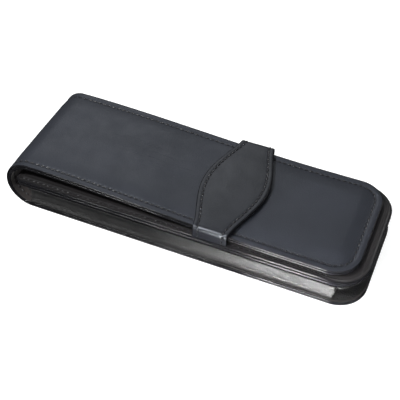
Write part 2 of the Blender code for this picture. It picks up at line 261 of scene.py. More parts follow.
def loops_to_mesh(name, loops, across, rings, materials, start_flank, finish_flank):
    """Closed solid from closed loops, with flat caps or rounded flanks at its two ends. A loop goes
    along the outer face, down one edge, back along the inner face and up the other edge. Materials
    0, 1 and 2 are for the outer face, the edge and the inner face."""
    points = []
    faces = []
    indices = []
    size = len(loops[0])
    ring_count = len(rings)
    for loop in loops:
        points += loop

    def near(station, k):
        if k == 0:
            return station * size
        if k == ring_count - 1:
            return station * size + across + 1 + (ring_count - 2) + across
        return station * size + size - k

    def far(station, k):
        if k == 0:
            return station * size + across
        if k == ring_count - 1:
            return station * size + across + 1 + (ring_count - 2)
        return station * size + across + k

    def outer(station, j):
        return station * size + j

    def inner(station, j):
        return station * size + across + 1 + (ring_count - 2) + (across - j)

    edge_at = [1 if rings[k][1] == 0 and rings[k + 1][1] == 0 else 0 for k in range(ring_count - 1)]
    back_at = [2 if rings[k][1] == -1 or rings[k + 1][1] == -1 else 0 for k in range(ring_count - 1)]
    ring_material = [edge or back for edge, back in zip(edge_at, back_at)]
    for a in range(len(loops) - 1):
        b = a + 1
        for j in range(across):
            faces.append((outer(a, j), outer(a, j + 1), outer(b, j + 1), outer(b, j)))
            indices.append(0)
            faces.append((inner(a, j), inner(b, j), inner(b, j + 1), inner(a, j + 1)))
            indices.append(2)
        for k in range(ring_count - 1):
            faces.append((far(a, k), far(a, k + 1), far(b, k + 1), far(b, k)))
            faces.append((near(a, k), near(b, k), near(b, k + 1), near(a, k + 1)))
            indices += [ring_material[k]] * 2
    for station, flank in ((0, start_flank), (len(loops) - 1, finish_flank)):
        if flank is None:
            for j in range(across):
                faces.append((outer(station, j), outer(station, j + 1),
                              inner(station, j + 1), inner(station, j)))
                indices.append(1)
            for side in (near, far):
                for k in range(ring_count // 2):
                    m = ring_count - 1 - k
                    if m - k == 2:
                        faces.append((side(station, k), side(station, k + 1), side(station, m)))
                        indices.append(1)
                    elif m - k > 2:
                        faces.append((side(station, k), side(station, k + 1),
                                      side(station, m - 1), side(station, m)))
                        indices.append(1)
        else:
            rows = [[outer(station, j) for j in range(across + 1)]]
            for k in range(1, ring_count - 1):
                first = len(points)
                points += flank[k - 1]
                rows.append([near(station, k)] + list(range(first, first + across - 1))
                            + [far(station, k)])
            rows.append([inner(station, j) for j in range(across + 1)])
            for k in range(ring_count - 1):
                for j in range(across):
                    faces.append((rows[k][j], rows[k][j + 1], rows[k + 1][j + 1], rows[k + 1][j]))
                    indices.append(ring_material[k])
    return mesh_object(name, points, faces, materials, indices)


def plate(name, place, u0, u1, half, r0, r1, rings, step, materials, across=ACROSS):
    """A flat-laid ply from u0 to u1. place(u, y, inset, ring) gives the point; r0 of 0 leaves that
    end open with a flat cap, and half is a number or a function of u."""
    half_at = half if callable(half) else (lambda u: half)
    deepest = rings[0][0]

    def inset_at(u, y):
        h = half_at(u)
        side = h - abs(y)
        result = side
        for edge, radius, sign in ((u0, r0, -1), (u1, r1, 1)):
            if radius == 0:
                continue
            end = sign * (edge - u)
            result = min(result, end)
            corner_u = radius - end
            corner_y = radius - side
            if corner_u > 0 and corner_y > 0:
                result = min(result, radius - math.hypot(corner_u, corner_y))
        return result

    stations = []
    if r0:
        stations += [("arc", 0, 90 * (1 - i / ARC_STEPS)) for i in range(ARC_STEPS)]
    first = u0 + r0
    last = u1 - r1
    count = max(int(abs(last - first) / step), 2)
    stations += [("line", first + (last - first) * i / count, 0) for i in range(count + 1)]
    if r1:
        stations += [("arc", 1, 90 * (i + 1) / ARC_STEPS) for i in range(ARC_STEPS)]

    def side_point(station, inset):
        kind, value, angle = station
        if kind == "line":
            return value, half_at(value) - inset
        edge, radius, sign = ((u0, r0, 1), (u1, r1, -1))[value]
        h = half_at(edge + sign * radius)
        a = math.radians(angle)
        u = edge + sign * radius - sign * (radius - inset) * math.sin(a)
        return u, h - radius + (radius - inset) * math.cos(a)

    loops = []
    n = len(rings)
    for station in stations:
        u_in, y_in = side_point(station, deepest)
        row = [(u_in, -y_in + 2 * y_in * j / across) for j in range(across + 1)]
        loop = [place(u, y, inset_at(u, y), rings[0]) for u, y in row]
        for k in range(1, n - 1):
            u, y = side_point(station, rings[k][0])
            loop.append(place(u, y, rings[k][0], rings[k]))
        loop += [place(u, y, inset_at(u, y), rings[-1]) for u, y in reversed(row)]
        for k in range(n - 2, 0, -1):
            u, y = side_point(station, rings[k][0])
            loop.append(place(u, -y, rings[k][0], rings[k]))
        loops.append(loop)

    def flank(edge, radius, sign):
        rows = []
        width = half_at(edge + sign * radius) - radius
        for k in range(1, n - 1):
            u = edge + sign * rings[k][0]
            rows.append([place(u, -width + 2 * width * j / across, rings[k][0], rings[k])
                         for j in range(1, across)])
        return rows

    start = flank(u0, r0, 1) if r0 else None
    finish = flank(u1, r1, -1) if r1 else None
    return loops_to_mesh(name, loops, across, rings, materials, start, finish)


def wrap_ply(name, s0, s1, half, r1, top, bottom, relief_top, relief_bottom, insets, materials):
    """One ply of the wrap between s0 and s1 (s1 is the rounded end where r1 is not 0)."""
    rings = ply_rings(insets, WRAP_EDGE_ROUND)
    sign = 1 if s1 > s0 else -1

    def place(u, y, inset, ring):
        s = s0 + sign * u
        depth = ring_depth(ring, top, bottom, relief_top, relief_bottom, s, y, inset)
        return wrap_point(s, y, depth)

    half_u = half if not callable(half) else (lambda u: half(s0 + sign * u))
    return plate(name, place, 0.0, abs(s1 - s0), half_u, 0, r1, rings, STATION, materials)


# Stitches

STITCH_RADIUS = 0.33
STITCH_LENGTH = 2.0
STITCH_SLANT = 9.0
STITCH_SIDES = 8
# Along a stitch, from end to end: (place by its length, lift above the leather in mm, thickness)
STITCH_PROFILE = ((-0.5, -0.30, 0.62), (-0.40, 0.0, 0.88), (-0.2, 0.13, 1.0), (0.0, 0.17, 1.04),
                  (0.2, 0.13, 1.0), (0.40, 0.0, 0.88), (0.5, -0.30, 0.62))
ROW_POINTS = 40


def stitch_path(u0, u1, half, r1, inset):
    """Polylines (u, y) parallel to a plate's edge: one round it if r1 rounds its far end, else two."""
    points = []
    half_at = half if callable(half) else (lambda u: half)
    for i in range(ROW_POINTS + 1):
        u = u0 + (u1 - r1 - u0) * i / ROW_POINTS
        points.append((u, -(half_at(u) - inset)))
    if r1:
        h = half_at(u1 - r1)
        for i in range(1, ARC_STEPS + 1):
            a = math.radians(90 * i / ARC_STEPS)
            points.append((u1 - r1 + (r1 - inset) * math.sin(a), -(h - r1) - (r1 - inset) * math.cos(a)))
        points.append((u1 - inset, 0.0))
    mirrored = [(u, -y) for u, y in reversed(points)]
    if r1:
        return [points + mirrored[1:]]
    return [points, mirrored]


def resample(path):
    """Centres and directions of stitches along a polyline, a whole number of them."""
    lengths = [0.0]
    for a, b in zip(path, path[1:]):
        lengths.append(lengths[-1] + math.dist(a, b))
    count = max(int(round(lengths[-1] / STITCH_PITCH)), 1)
    gap = lengths[-1] / count
    stitches = []
    i = 0
    for n in range(count):
        at = (n + 0.5) * gap
        while lengths[i + 1] < at:
            i += 1
        t = (at - lengths[i]) / (lengths[i + 1] - lengths[i])
        a, b = path[i], path[i + 1]
        centre = tuple(p + (q - p) * t for p, q in zip(a, b))
        size = math.dist(a, b)
        direction = tuple((q - p) / size for p, q in zip(a, b))
        stitches.append((centre, direction))
    return stitches


def stitches_object(name, rows, surface, material):
    """Separate saddle stitches: each dives into the leather at its two ends.
    surface(u, y, lift) gives the point that stands lift above the leather."""
    points = []
    faces = []
    sides = STITCH_SIDES
    number = 0
    for row in rows:
        for (u, y), (du, dy) in resample(row):
            number += 1
            turn = math.radians(STITCH_SLANT + 3.0 * wobble(number * 1.3, 0.2, 0.5, 1.0))
            cu, su = math.cos(turn), math.sin(turn)
            du, dy = du * cu - dy * su, du * su + dy * cu
            base = len(points)
            grow = 1 + 0.06 * wobble(number * 2.1, 3.0, 1.0, 1.0)
            for along, lift, thick in STITCH_PROFILE:
                a = along * STITCH_LENGTH * grow
                for side in range(sides):
                    angle = 2 * math.pi * side / sides
                    off = STITCH_RADIUS * thick * math.cos(angle)
                    up = STITCH_RADIUS * thick * math.sin(angle) + lift
                    points.append(surface(u + du * a - dy * off, y + dy * a + du * off, up))
            for ring in range(len(STITCH_PROFILE) - 1):
                for side in range(sides):
                    a = base + ring * sides + side
                    b = base + ring * sides + (side + 1) % sides
                    faces.append((a, b, b + sides, a + sides))
            faces.append(tuple(base + side for side in reversed(range(sides))))
            last = base + (len(STITCH_PROFILE) - 1) * sides
            faces.append(tuple(last + side for side in range(sides)))
    return mesh_object(name, points, faces, [material])


# Materials

class Nodes:
    """A short way to build a shader tree."""

    def __init__(self, name):
        self.material = bpy.data.materials.new(name)
        self.material.use_nodes = True
        self.tree = self.material.node_tree
        self.shader = self.tree.nodes["Principled BSDF"]
        self.coordinates = self.tree.nodes.new("ShaderNodeTexCoord").outputs["Object"]

    def new(self, kind, values=None, **settings):
        node = self.tree.nodes.new(kind)
        for key, value in settings.items():
            setattr(node, key, value)
        self.fill(node, values or {})
        return node

    def fill(self, node, values):
        """Set a node's inputs: a socket is linked, and anything else is a plain value."""
        for key, value in values.items():
            if isinstance(value, bpy.types.NodeSocket):
                self.tree.links.new(value, node.inputs[key])
            else:
                node.inputs[key].default_value = value

    def noise(self, size_mm, detail=4.0, rough=0.55, stretch=None, distortion=0.0):
        """Noise with features of about the given size; stretch scales its three axes."""
        vector = self.coordinates
        if stretch:
            vector = self.new("ShaderNodeMapping", {"Vector": vector, "Scale": stretch}).outputs[0]
        return self.new("ShaderNodeTexNoise", {
            "Vector": vector, "Scale": 1 / (size_mm * MM), "Detail": detail,
            "Roughness": rough, "Distortion": distortion}).outputs["Fac"]

    def cells(self, size_mm, warp, warp_size):
        """Distance from the middle of cells of the given size, bent out of shape by a noise."""
        shift = self.new("ShaderNodeTexNoise", {
            "Vector": self.coordinates, "Scale": 1 / (warp_size * MM)}).outputs["Color"]
        vector = self.new("ShaderNodeVectorMath", {0: shift, 1: (warp * MM,) * 3, 2: self.coordinates},
                          operation="MULTIPLY_ADD").outputs[0]
        return self.new("ShaderNodeTexVoronoi", {
            "Vector": vector, "Scale": 1 / (size_mm * MM)}).outputs["Distance"]

    def patch(self, centre, size):
        """1 in the middle of an ellipsoid on the object and 0 outside it; centre and half sizes in mm."""
        shift = [-place / extent for place, extent in zip(centre, size)]
        scale = [1 / (extent * MM) for extent in size]
        moved = self.new("ShaderNodeVectorMath", {0: self.coordinates, 1: scale, 2: shift},
                         operation="MULTIPLY_ADD").outputs[0]
        length = self.new("ShaderNodeVectorMath", {0: moved}, operation="LENGTH").outputs["Value"]
        return self.range(length, 0.35, 1.0, 1.0, 0.0)

    def height_fade(self, low, high, below, above):
        """A value that goes from below to above between the heights low and high, in mm."""
        up = self.new("ShaderNodeSeparateXYZ", {"Vector": self.coordinates}).outputs["Z"]
        return self.range(up, low * MM, high * MM, below, above)

    def ramp(self, value, stops):
        """A colour by value, between (position, colour or grey) stops."""
        node = self.new("ShaderNodeValToRGB", {"Fac": value})
        ramp = node.color_ramp
        while len(ramp.elements) < len(stops):
            ramp.elements.new(0.5)
        for element, (position, colour) in zip(ramp.elements, stops):
            element.position = position
            if not isinstance(colour, tuple):
                colour = (colour,) * 3
            element.color = (*colour, 1.0)
        return node.outputs["Color"]

    def math(self, operation, a, b=0.0, c=0.0):
        return self.new("ShaderNodeMath", {0: a, 1: b, 2: c}, operation=operation).outputs[0]

    def range(self, value, low, high, new_low, new_high):
        return self.new("ShaderNodeMapRange", {
            "Value": value, "From Min": low, "From Max": high, "To Min": new_low,
            "To Max": new_high}).outputs["Result"]

    def bump(self, height, distance_mm, below=None):
        values = {"Height": height, "Distance": distance_mm * MM, "Strength": 1.0}
        if below is not None:
            values["Normal"] = below
        return self.new("ShaderNodeBump", values).outputs["Normal"]

    def finish(self, values):
        self.fill(self.shader, values)
        return self.material


PAINTED_SHADE_FROM = GUSSET_LOW[2] + 0.9     # painted shade: the gusset's shine is turned down below this height
PAINTED_SHADE_TO = GUSSET_LOW[2] + 2.6       # and is full from this height
PAINTED_SHADE_GLOSS = 0.22                   # the share of the shine left at the bottom, a painted shade along the foot
CREASED = (-22.0, 4.0, 20.0)        # middle of the flap's creased patch
CREASED_SIZE = (30.0, 12.0, 12.0)   # and its half sizes
MOTTLE = 25.0                       # size of the leather's soft mottling
COOL = (0.86, 0.92, 1.0)            # tint of the wrap's and the band's shine


def leather(name, dark, light, roughness, grain_mm, grain_depth, specular, pebble=0.0, creases=0.0,
            tint=COOL):
    """Finished leather with broad soft mottling and fine grain. pebble is the size of round lumps,
    which come with painted shade: the shine fades out towards the gusset's bottom. creases is the depth
    of the flap's long creases."""
    tree = Nodes(name)
    mottle = tree.noise(MOTTLE, detail=3.0)
    colour = tree.ramp(mottle, [(0.35, dark), (0.68, light)])
    cells = tree.cells(grain_mm, warp=grain_mm * 0.5, warp_size=grain_mm * 1.5)
    fine = tree.noise(grain_mm * 0.6, detail=5.0, rough=0.6)
    height = tree.math("MULTIPLY_ADD", fine, 0.5, cells)
    normal = tree.bump(height, grain_depth)
    if pebble:
        lumps = tree.cells(pebble, warp=pebble * 0.5, warp_size=pebble * 1.4)
        rounded = tree.math("SUBTRACT", 1.0, tree.math("POWER", lumps, 2.0))
        normal = tree.bump(rounded, pebble * 0.30, below=normal)
        # painted shade: the shine fades out towards the gusset's bottom
        specular = tree.height_fade(PAINTED_SHADE_FROM, PAINTED_SHADE_TO, PAINTED_SHADE_GLOSS * specular, specular)
    if creases:
        streaks = tree.noise(1.5, detail=2.0, stretch=(0.05, 1.0, 1.0), distortion=0.3)
        lines = tree.range(streaks, 0.54, 0.64, 0.0, 1.0)
        fold = tree.math("MULTIPLY", lines, tree.patch(CREASED, CREASED_SIZE))
        normal = tree.bump(fold, -creases, below=normal)
    gloss = tree.noise(grain_mm * 14, detail=4.0)
    rough = tree.range(gloss, 0.3, 0.7, roughness - 0.05, roughness + 0.07)
    return tree.finish({
        "Base Color": colour, "Roughness": rough, "Normal": normal, "Metallic": 0.0,
        "Specular IOR Level": specular, "Specular Tint": (*tint, 1.0)})


def edge_paint():
    """Burnished, painted leather edge: near black and smooth, with a faint clean shine."""
    tree = Nodes("edge_paint")
    waves = tree.noise(5.0, detail=2.0)
    lumps = tree.noise(6.0, detail=2.0)
    colour = tree.ramp(lumps, [(0.3, (0.0035, 0.0035, 0.004)), (0.7, (0.006, 0.006, 0.007))])
    height = tree.math("MULTIPLY_ADD", lumps, 0.8, waves)
    rough = tree.range(waves, 0.3, 0.7, 0.11, 0.15)
    return tree.finish({
        "Base Color": colour, "Roughness": rough, "Normal": tree.bump(height, 0.012),
        "Specular IOR Level": 0.065})


def thread_material():
    """Waxed black thread with the faint slanting bands of its twist."""
    tree = Nodes("waxed_thread")
    wave = tree.new("ShaderNodeTexWave", {
        "Vector": tree.coordinates, "Scale": 1 / (1.6 * MM), "Distortion": 1.0, "Detail": 2.0},
        bands_direction="DIAGONAL").outputs["Fac"]
    colour = tree.ramp(wave, [(0.2, (0.003, 0.003, 0.004)), (0.8, (0.011, 0.011, 0.013))])
    return tree.finish({
        "Base Color": colour, "Roughness": 0.38, "Normal": tree.bump(wave, 0.05),
        "Specular IOR Level": 0.4})


def lining_material():
    """Soft split-leather lining: matt, brown-black, with a short uneven nap."""
    tree = Nodes("split_lining")
    nap = tree.noise(0.35, detail=6.0, rough=0.7)
    cloud = tree.noise(9.0, detail=3.0)
    colour = tree.ramp(cloud, [(0.3, (0.008, 0.006, 0.006)), (0.7, (0.016, 0.012, 0.011))])
    return tree.finish({
        "Base Color": colour, "Roughness": tree.range(nap, 0.3, 0.7, 0.58, 0.74),
        "Normal": tree.bump(nap, 0.09), "Specular IOR Level": 0.35, "Sheen Weight": 0.15,
        "Sheen Roughness": 0.5})


def floor_material():
    """Pale floor that glows a little, so that it is as white as the photo's ground."""
    tree = Nodes("pale_floor")
    speck = tree.noise(40.0, detail=2.0)
    colour = tree.ramp(speck, [(0.3, 0.34), (0.7, 0.37)])
    return tree.finish({
        "Base Color": colour, "Roughness": 0.9, "Specular IOR Level": 0.0,
        "Emission Color": (1.0, 1.0, 1.0, 1.0), "Emission Strength": 0.86})


WRAP = leather("wrap_leather", dark=(0.0095, 0.0105, 0.014), light=(0.013, 0.0142, 0.019),
               roughness=0.44, grain_mm=0.55, grain_depth=0.035, specular=0.37, creases=0.05)
BAND_LEATHER = leather("band_leather", dark=(0.0065, 0.007, 0.0085), light=(0.0095, 0.010, 0.0125),
                       roughness=0.34, grain_mm=0.5, grain_depth=0.03, specular=0.27)
# The front panel's leather is the wrap's leather made darker and browner: painted shade on the front
# panel.
FRONT_LEATHER_SHADED = leather("front_leather_painted_shade", dark=(0.008, 0.0075, 0.0078), light=(0.012, 0.011, 0.0112),
                        roughness=0.42, grain_mm=0.5, grain_depth=0.03, specular=0.26,
                        tint=(0.94, 0.96, 1.0))
GUSSET = leather("gusset_leather", dark=(0.004, 0.004, 0.004), light=(0.007, 0.007, 0.007),
                 roughness=0.52, grain_mm=0.45, grain_depth=0.05, specular=0.80, pebble=0.5,
                 tint=(1.0, 1.0, 1.0))
EDGE = edge_paint()
LINING = lining_material()
THREAD = thread_material()


# Wrap: outer ply and lining ply, each from the back panel round the fold to the flap's end

# Distances from the edge at which a ply's faces have rings, denser at the stitches
MARGIN = [6.4, 5.6, 5.0, 4.5, 4.1, 3.8, 3.55, 3.3, 3.05, 2.8, 2.5, 2.1, 1.6, 1.15, 0.8]
WRAP_EDGE_ROUND = 0.42
PLY_SPLIT = WRAP_THICKNESS / 2
SEAM = 0.09                 # half of the gap between two plies
FLAP_END_S = FOLD_LENGTH + FLAP_HIGH[0] - FOLD_X
BACK_END_S = FOLD_X - CLOSED_END
# Each ply: the depths of its two faces and their reliefs
OUTER = (0.0, PLY_SPLIT - SEAM, wrap_relief, no_relief)
INNER = (PLY_SPLIT + SEAM, WRAP_THICKNESS, no_relief, lining_relief)
OUTER_LOOK = [WRAP, EDGE, LINING]
INNER_LOOK = [LINING, EDGE, LINING]
SEGMENTS = len([name for name in frame["bodies"] if name.startswith("fold_")])
# Each panel: its label, where it begins and ends, its half width, corner radius and body
PANELS = (("back", -STRIP_REACH, BACK_END_S, BACK_HALF, BACK_CORNER, "root"),
          ("flap", FOLD_LENGTH + STRIP_REACH, FLAP_END_S, FLAP_HALF, FLAP_CORNER, "flap"))


def wrap_panels():
    """The back panel and the flap, which don't bend."""
    for label, s0, s1, half, corner, body in PANELS:
        for layer, ply, look in (("outer", OUTER, OUTER_LOOK), ("lining", INNER, INNER_LOOK)):
            name = f"{label}_{layer}_leather"
            item = wrap_ply(name, s0, s1, half, corner, *ply, MARGIN, look)
            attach(item, body)
    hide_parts("back_outer", "back_board")
    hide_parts("back_lining")
    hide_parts("flap_outer", "flap_pad")
    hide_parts("flap_lining")


def strip_span(i):
    """Where the fold's strip across bend line i begins and ends along the wrap."""
    step = math.pi / SEGMENTS
    begin = (i - 0.5) * step * FOLD_R if i > 0 else -STRIP_REACH
    end = (i + 0.5) * step * FOLD_R if i < SEGMENTS else FOLD_LENGTH + STRIP_REACH
    return begin, end


def fold_strips():
    """The fold in strips, one across each bend line."""
    for i in range(SEGMENTS + 1):
        s0, s1 = strip_span(i)
        for layer, ply, look, node in (("outer", OUTER, OUTER_LOOK, "fold_outer_"),
                                       ("lining", INNER, INNER_LOOK, "fold_lining_")):
            item = wrap_ply(f"fold_{layer}_leather_{i + 1}", s0, s1, wrap_half, 0, *ply, MARGIN, look)
            if i < SEGMENTS:
                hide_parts(node + str(i + 1))
            depth = (ply[0] + ply[1]) / 2
            bend(item, s0, s1, depth)


def bend(item, s0, s1, depth):
    """Bake a piece's placement into its mesh; it is not attached to a body and doesn't turn."""
    start = Vector(wrap_point(s0, 0.0, depth)) * MM
    end = Vector(wrap_point(s1, 0.0, depth)) * MM
    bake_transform(item)


def wrap_stitches():
    """The row round the wrap shows on its outer face and on its lining."""
    for face in ("outer", "lining"):
        def surface(s, y, lift, face=face):
            if face == "outer":
                depth = -lift - wrap_relief(s, y, FLAP_STITCH)
            else:
                depth = WRAP_THICKNESS + lift + lining_relief(s, y, FLAP_STITCH)
            return wrap_point(s, y, depth)

        for label, s0, s1, half, corner, body in PANELS:
            sign = 1 if s1 > s0 else -1
            rows = [[(s0 + sign * u, y) for u, y in row]
                    for row in stitch_path(0.0, abs(s1 - s0), half, corner, FLAP_STITCH)]
            item = stitches_object(f"{label}_{face}_stitches", rows, surface, THREAD)
            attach(item, body)
        for i in range(SEGMENTS + 1):
            s0, s1 = strip_span(i)
            rows = stitch_path(s0, s1, wrap_half, 0, FLAP_STITCH)
            item = stitches_object(f"fold_{face}_stitches_{i + 1}", rows, surface, THREAD)
            bend(item, s0, s1, 0.0 if face == "outer" else WRAP_THICKNESS)
    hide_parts("back_thread")
    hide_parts("flap_thread")


# Front panel

FRONT_BOTTOM = FRONT_INNER_LOW[2]
FRONT_TOP = FRONT_HIGH[2]
FRONT_SPLIT = (FRONT_BOTTOM + FRONT_TOP) / 2
FRONT_STITCH = 2.1
FRONT_SINK = 0.34           # the front panel's stitches are drawn this far in
FRONT_DIP = 0.22
# Lines tooled beside the stitches: (distance from the edge, width, height)
TOOLED = ((1.45, 0.22, 0.10), (3.2, 0.3, 0.10), (1.05, 0.15, -0.06))
ROLL = 0.95                 # how far the margin rolls down at the closed end
ROLL_FROM = 62.0
ROLL_FULL = 75.0
FRONT_EDGE_ROUND = 0.62
FRONT_MARGIN = [4.6, 4.0, 3.6, 3.3, 3.0, 2.7, 2.4, 2.1, 1.8, 1.55, 1.3, 1.1, 0.95, 0.8]


def front_relief(x, y, inset):
    """Stitch row and tooled lines beside it; the margin rolls down at the closed end."""
    dip = stitch_dip(inset, x, FRONT_STITCH, FRONT_DIP)
    tooled = sum(height * bell(inset, at, width) for at, width, height in TOOLED)
    roll = ROLL * smooth(2.6, 0.2, inset) + 0.2 * bell(inset, 3.4, 0.6)
    roll *= smooth(ROLL_FROM, ROLL_FULL, x)
    return dip + tooled - roll + 0.04 * wobble(x, y, 1.0, 10.0, 2.3)


def front_panel():
    half = FRONT_HIGH[1]
    rings = ply_rings(FRONT_MARGIN, FRONT_EDGE_ROUND)
    for layer, bottom, top, relief in (("lining", FRONT_BOTTOM, FRONT_SPLIT - SEAM, no_relief),
                                       ("outer", FRONT_SPLIT + SEAM, FRONT_TOP, front_relief)):
        def place(x, y, inset, ring, bottom=bottom, top=top, relief=relief):
            depth = ring_depth(ring, 0.0, top - bottom, relief, no_relief, x, y, inset)
            return (x, y, top - depth)

        # the outer ply takes the darker leather that paints shade on the front panel
        look = [FRONT_LEATHER_SHADED if layer == "outer" else LINING, EDGE, LINING]
        item = plate(f"front_{layer}_leather", place, FRONT_LOW[0], FRONT_HIGH[0], half,
                     FRONT_MOUTH_CORNER, FRONT_CORNER, rings, STATION, look)
        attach(item, "root")
        if layer == "outer":
            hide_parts("front_outer", "front_board")
        else:
            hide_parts("front_lining")

    def surface(x, y, lift):
        return (x, y, FRONT_TOP + lift - FRONT_SINK + front_relief(x, y, FRONT_STITCH))

    rows = stitch_path(FRONT_LOW[0], FRONT_HIGH[0] - FRONT_CORNER, half, 0, FRONT_STITCH)
    item = stitches_object("front_stitches", rows, surface, THREAD)
    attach(item, "root")
    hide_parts("front_thread")


# Gusset

GUSSET_REACH = 1.9          # how far its foot and head stand out from the wall's line
GUSSET_LEAN = 0.45          # how far the wall leans in by its head
WALL_OUT = 0.3              # where the wall begins above the foot's curve
FOOT_WIDE = 1.45
FOOT_HIGH = 2.2
FOOT_PLY = 0.65
HEAD_WIDE = 1.1
HEAD_HIGH = 1.05
HEAD_PLY = 0.7
WAVE = 0.13                 # height of the wall's soft waves
RIPPLE = 0.015
PINCH = 0.35                # ridge where the strip begins to turn the corner
GUSSET_TUCK = 4.4           # how far the strip is tucked in behind it
CRUMPLE = 0.25              # unevenness of the tucked part
HEM = 0.4                   # the strip's turned end at the mouth
GUSSET_WALL_HALF = GUSSET_HIGH[1] - GUSSET_REACH
GUSSET_END = GUSSET_HIGH[0] - GUSSET_REACH
GUSSET_CORNER = 11.0
GUSSET_STATION = 0.7
GUSSET_CORNER_STEPS = 28
HEM_STATIONS = (0.0, 0.12, 0.3, 0.5)
FOOT_STEPS = 8
WALL_STEPS = 8
HEAD_STEPS = 6


def gusset_section():
    """Closed section of the gusset strip: (outwards, height), up its outer face and down inside."""
    bottom, top = GUSSET_LOW[2], GUSSET_HIGH[2]
    wall_low = bottom + FOOT_PLY + FOOT_HIGH
    wall_high = top - HEAD_PLY - HEAD_HIGH
    outer = [(GUSSET_REACH, bottom + 0.1), (GUSSET_REACH, bottom + FOOT_PLY - 0.1)]
    for i in range(FOOT_STEPS + 1):
        angle = math.radians(90 * i / FOOT_STEPS)
        outer.append((WALL_OUT + FOOT_WIDE * (1 - math.sin(angle)),
                      wall_low - FOOT_HIGH * math.cos(angle)))
    for i in range(1, WALL_STEPS):
        t = i / WALL_STEPS
        outer.append((WALL_OUT - (WALL_OUT + GUSSET_LEAN) * t, wall_low + (wall_high - wall_low) * t))
    for i in range(HEAD_STEPS + 1):
        angle = math.radians(90 * i / HEAD_STEPS)
        outer.append(((HEAD_WIDE + GUSSET_LEAN) * (1 - math.cos(angle)) - GUSSET_LEAN,
                      wall_high + HEAD_HIGH * math.sin(angle)))
    outer += [(GUSSET_REACH, top - HEAD_PLY + 0.02), (GUSSET_REACH, top - 0.05)]
    inner = [(-0.2, top), (-0.75, top - 0.5), (-0.88, top - 2.0), (-1.05, (top + bottom) / 2),
             (-0.88, bottom + 2.2), (-0.7, bottom + 0.6), (-0.1, bottom)]
    return outer + inner


def gusset_path():
    """Stations from the mouth, round the closed end and back: (x, y, outward x, outward y)."""
    stations = []
    x0 = GUSSET_LOW[0]
    x1 = GUSSET_END - GUSSET_CORNER
    y0 = GUSSET_WALL_HALF
    y1 = GUSSET_WALL_HALF - GUSSET_CORNER
    straight = int((x1 - x0) / GUSSET_STATION)
    stations += [(x0 + step, -y0, 0.0, -1.0) for step in HEM_STATIONS]
    for i in range(1, straight):
        stations.append((x0 + (x1 - x0) * i / straight, -y0, 0.0, -1.0))
    for i in range(GUSSET_CORNER_STEPS + 1):
        a = math.radians(90 * i / GUSSET_CORNER_STEPS)
        stations.append((x1 + GUSSET_CORNER * math.sin(a), -y1 - GUSSET_CORNER * math.cos(a),
                         math.sin(a), -math.cos(a)))
    across = int(2 * y1 / GUSSET_STATION)
    for i in range(1, across):
        stations.append((GUSSET_END, -y1 + 2 * y1 * i / across, 1.0, 0.0))
    mirrored = [(x, -y, nx, -ny) for x, y, nx, ny in reversed(stations) if y < -1e-6]
    keep = [station for station in stations if station[1] < y1 - 1e-6]
    return keep + [station for station in mirrored if station[1] >= y1 - 1e-6]


def gusset_push(x, y, z):
    """How far the strip stands out: soft waves, the pinch and tuck at the corner, and the hem."""
    bottom, top = GUSSET_LOW[2], GUSSET_HIGH[2]
    t = (z - bottom) / (top - bottom)
    loose = math.sin(math.pi * min(max(t, 0.0), 1.0))
    push = WAVE * wobble(x, y, 0.35 * z, 20.0, 5.0) + RIPPLE * wobble(x, y, z, 6.0, 7.0)
    ridge = GUSSET_END - GUSSET_CORNER + 0.6 + 1.5 * loose
    push += PINCH * bell(x, ridge - 0.4, 1.1) * (abs(y) > 15)
    tucked = smooth(ridge, ridge + 1.3, x) * smooth(10.0, 17.0, abs(y))
    push += CRUMPLE * tucked * wobble(x, y, z, 3.4, 3.0)
    hem = HEM * bell(x, GUSSET_LOW[0] + 0.5, 0.45)
    return push * min(1.0, 1.35 * loose) - GUSSET_TUCK * tucked * min(1.0, 3.0 * loose) + hem


def gusset():
    section = gusset_section()
    points = []
    faces = []
    size = len(section)
    path = gusset_path()
    for x, y, nx, ny in path:
        for out, z in section:
            push = gusset_push(x, y, z)
            points.append((x + nx * (out + push), y + ny * (out + push), z))
    for a in range(len(path) - 1):
        for j in range(size):
            k = (j + 1) % size
            faces.append((a * size + j, a * size + k, (a + 1) * size + k, (a + 1) * size + j))
    faces.append(tuple(range(size)))
    last = (len(path) - 1) * size
    faces.append(tuple(last + j for j in reversed(range(size))))
    item = mesh_object("gusset_leather", points, faces, [GUSSET])
    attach(item, "root")
    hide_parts("gusset")


# Band

BAND_X = (BAND_LOW[0] + BAND_HIGH[0]) / 2
BAND_HALF_MIDDLE = (BAND_HIGH[0] - BAND_LOW[0]) / 2
BAND_HALF_END = 7.7
BAND_SPAN = BAND_HIGH[1]
BAND_TOP = BAND_HIGH[2]
BAND_BEND = 2.2
BAND_SAG = 0.5              # how far its top falls towards the bends
BAND_SHORT = 0.45           # taken off each end, because the sag brings the ends down
BAND_OUTER = (0.0, 0.8)     # depths of the two faces of each ply
BAND_INNER = (0.84, 1.55)
BAND_EDGE_ROUND = 0.34
BAND_STATION = 0.5
BAND_ACROSS = 14
BAND_STITCH = 2.3
BAND_DIP = 0.16
BAND_DIP_WIDTH = 0.40
BAND_CROWN = 0.30           # how far its two edges lie below its middle
BAND_TILT = 0.25            # how far its right edge rises and its left edge falls
BAND_DOWN = BAND_TOP - BAND_BEND - BAND_LOW[2]
BAND_ARC = BAND_BEND * math.pi / 2
BAND_FLAT = BAND_SPAN - BAND_BEND
BAND_MARGIN = [4.2, 3.6, 3.2, 2.9, 2.6, 2.3, 2.0, 1.7, 1.4, 1.0, 0.7]


